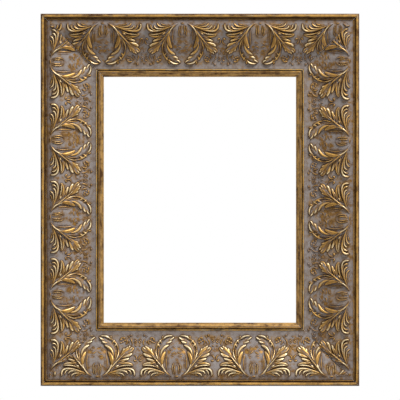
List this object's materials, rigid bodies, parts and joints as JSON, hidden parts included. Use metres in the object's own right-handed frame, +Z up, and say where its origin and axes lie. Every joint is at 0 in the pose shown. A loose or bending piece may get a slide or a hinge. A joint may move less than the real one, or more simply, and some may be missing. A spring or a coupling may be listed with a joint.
{
  "type": "picture frame",
  "caption": "Wide ogee picture frame with pressed acanthus leaves, mitred wood rails, a rabbet for a picture, D-ring hangers and turn buttons at the back.",
  "frame": {"origin": "centre of the frame in the plane of its back face, where the wall holds it", "axes": "+X to the right as seen from the front, +Y towards the wall behind, +Z up"},
  "size_m": [0.453, 0.0445, 0.5292],
  "materials": {
    "gilded_wood": "wood rail with antique gold leaf on its rim and sight edge, dark lines in its grooves and a bare brown back",
    "ornament": "pressed composition with a taupe wash, worn gold leaf on the raised leaves and dark hollows",
    "steel": "zinc plated sheet and wire",
    "felt": "dense dark felt"
  },
  "bodies": {
    "frame": {"rail_top": "gilded_wood", "rail_bottom": "gilded_wood", "rail_left": "gilded_wood", "rail_right": "gilded_wood", "ornament_top": "ornament", "ornament_bottom": "ornament", "ornament_left": "ornament", "ornament_right": "ornament", "v_nail_top_left_outer": "steel", "v_nail_top_left_inner": "steel", "v_nail_top_right_outer": "steel", "v_nail_top_right_inner": "steel", "v_nail_bottom_left_outer": "steel", "v_nail_bottom_left_inner": "steel", "v_nail_bottom_right_outer": "steel", "v_nail_bottom_right_inner": "steel", "hanger_strap_left": "steel", "hanger_strap_right": "steel", "hanger_screw_left_upper": "steel", "hanger_screw_left_lower": "steel", "hanger_screw_right_upper": "steel", "hanger_screw_right_lower": "steel", "button_screw_left_upper": "steel", "button_screw_left_lower": "steel", "button_screw_right_upper": "steel", "button_screw_right_lower": "steel", "bumper_left": "felt", "bumper_right": "felt"},
    "ring_left": {"hanger_ring_left": "steel"},
    "button_left_upper": {"turn_button_left_upper": "steel"},
    "button_left_lower": {"turn_button_left_lower": "steel"},
    "ring_right": {"hanger_ring_right": "steel"},
    "button_right_upper": {"turn_button_right_upper": "steel"},
    "button_right_lower": {"turn_button_right_lower": "steel"}
  },
  "joints": [
    {"name": "hanger_ring_left_swing", "type": "hinge", "parent": "frame", "child": "ring_left", "pos_m": [-0.18152, 0.0024, 0.11962], "axis": [-1, 0, 0], "range_deg": [0, 178]},
    {"name": "turn_button_left_upper_turn", "type": "hinge", "parent": "frame", "child": "button_left_upper", "pos_m": [-0.1493, 0.0009, 0.09], "axis": [0, 1, 0], "continuous": true},
    {"name": "turn_button_left_lower_turn", "type": "hinge", "parent": "frame", "child": "button_left_lower", "pos_m": [-0.1493, 0.0009, -0.09], "axis": [0, 1, 0], "continuous": true},
    {"name": "hanger_ring_right_swing", "type": "hinge", "parent": "frame", "child": "ring_right", "pos_m": [0.18152, 0.0024, 0.11962], "axis": [-1, 0, 0], "range_deg": [0, 178]},
    {"name": "turn_button_right_upper_turn", "type": "hinge", "parent": "frame", "child": "button_right_upper", "pos_m": [0.1493, 0.0009, 0.09], "axis": [0, 1, 0], "continuous": true},
    {"name": "turn_button_right_lower_turn", "type": "hinge", "parent": "frame", "child": "button_right_lower", "pos_m": [0.1493, 0.0009, -0.09], "axis": [0, 1, 0], "continuous": true}
  ]
}
